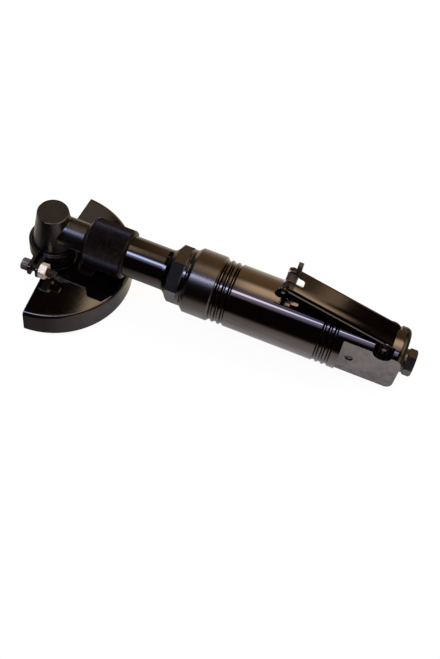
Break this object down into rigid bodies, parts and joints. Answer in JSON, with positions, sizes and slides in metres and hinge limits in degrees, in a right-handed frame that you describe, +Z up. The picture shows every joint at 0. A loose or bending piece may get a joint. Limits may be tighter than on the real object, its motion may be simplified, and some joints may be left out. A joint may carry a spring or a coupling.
{
  "type": "extended right angle grinder",
  "caption": "Long-necked air grinder with a bevel gear head, threaded wheel spindle, swivelling half guard, hexagon couplings, grooved barrel and a lever throttle with a lock-off latch.",
  "frame": {"origin": "spindle axis in the plane of the wheel seat", "axes": "+X along the motor axis towards the air inlet, +Z up the spindle towards the head cap"},
  "size_m": [0.311, 0.1248, 0.1124],
  "materials": {
    "black_anodised": "polished black anodised",
    "black_oxide": "polished black oxide",
    "black_sheet": "gloss black sheet steel",
    "black_clamp": "satin black sheet steel",
    "dark_steel": "dark satin steel",
    "zinc": "zinc plated",
    "bright_steel": "ground steel",
    "brass": "machined",
    "phenolic": "laminate",
    "rubber": "matt"
  },
  "bodies": {
    "housing": {"head_housing": "black_oxide", "head_cap": "black_oxide", "lower_spindle_bearing": "bright_steel", "upper_spindle_bearing": "bright_steel", "bearing_retainer": "bright_steel", "front_pinion_bearing": "bright_steel", "rear_pinion_bearing": "bright_steel", "pinion_spacer": "bright_steel", "pinion_retainer": "bright_steel", "coupling_nut": "black_oxide", "extension_tube": "black_oxide", "front_shaft_bearing": "bright_steel", "rear_shaft_bearing": "bright_steel", "shaft_spacer": "bright_steel", "motor_housing": "black_anodised", "front_end_plate": "bright_steel", "front_rotor_bearing": "bright_steel", "cylinder_liner": "bright_steel", "rear_end_plate": "bright_steel", "rear_rotor_bearing": "bright_steel", "liner_dowel": "bright_steel", "rear_gasket": "rubber", "valve_seat": "brass", "valve_plug": "dark_steel", "valve_spring": "bright_steel", "inlet_screen": "brass", "inlet_washer": "dark_steel", "inlet_bushing": "dark_steel", "side_plug": "dark_steel", "lever_pin": "zinc"},
    "drive_train": {"bevel_pinion": "bright_steel", "front_coupler": "bright_steel", "drive_shaft": "bright_steel", "rear_coupler": "bright_steel", "rotor": "bright_steel", "rotor_vanes": "phenolic"},
    "spindle": {"spindle": "bright_steel", "wheel_flange": "dark_steel", "bevel_gear": "bright_steel"},
    "guard": {"guard": "black_sheet", "clamp_band": "black_clamp", "clamp_screw": "dark_steel", "clamp_nut": "zinc"},
    "throttle_lever": {"throttle_lever": "black_sheet", "latch_pin": "zinc", "latch_bush": "zinc", "latch_spring": "zinc"},
    "safety_latch": {"safety_latch": "dark_steel"},
    "throttle_valve": {"throttle_valve": "bright_steel"}
  },
  "joints": [
    {"name": "drive_spin", "type": "hinge", "parent": "housing", "child": "drive_train", "pos_m": [0, 0, 0.042], "axis": [1, 0, 0], "continuous": true},
    {"name": "spindle_spin", "type": "hinge", "parent": "housing", "child": "spindle", "pos_m": [0, 0, 0], "axis": [0, 0, 1], "continuous": true},
    {"name": "guard_turn", "type": "hinge", "parent": "housing", "child": "guard", "pos_m": [0, 0, 0], "axis": [0, 0, 1], "range_deg": [-90, 15]},
    {"name": "lever_press", "type": "hinge", "parent": "housing", "child": "throttle_lever", "pos_m": [0.2663, 0, 0.062], "axis": [0, -1, 0], "range_deg": [0, 7], "stiffness_Nm_per_rad": 3, "springref_deg": -6.88},
    {"name": "latch_swing", "type": "hinge", "parent": "throttle_lever", "child": "safety_latch", "pos_m": [0.185, 0, 0.08403], "axis": [0, -1, 0], "range_deg": [0, 50]},
    {"name": "valve_slide", "type": "slide", "parent": "housing", "child": "throttle_valve", "axis": [0, 0, -1], "range_m": [0, 0.0022], "deforming": ["valve_spring"]}
  ],
  "couplings": [
    {"joint": "spindle_spin", "follows": "drive_spin", "ratio": 0.75},
    {"joint": "latch_swing", "follows": "lever_press", "ratio": 7.1428},
    {"joint": "valve_slide", "follows": "lever_press", "m_per_rad": 0.0172}
  ]
}
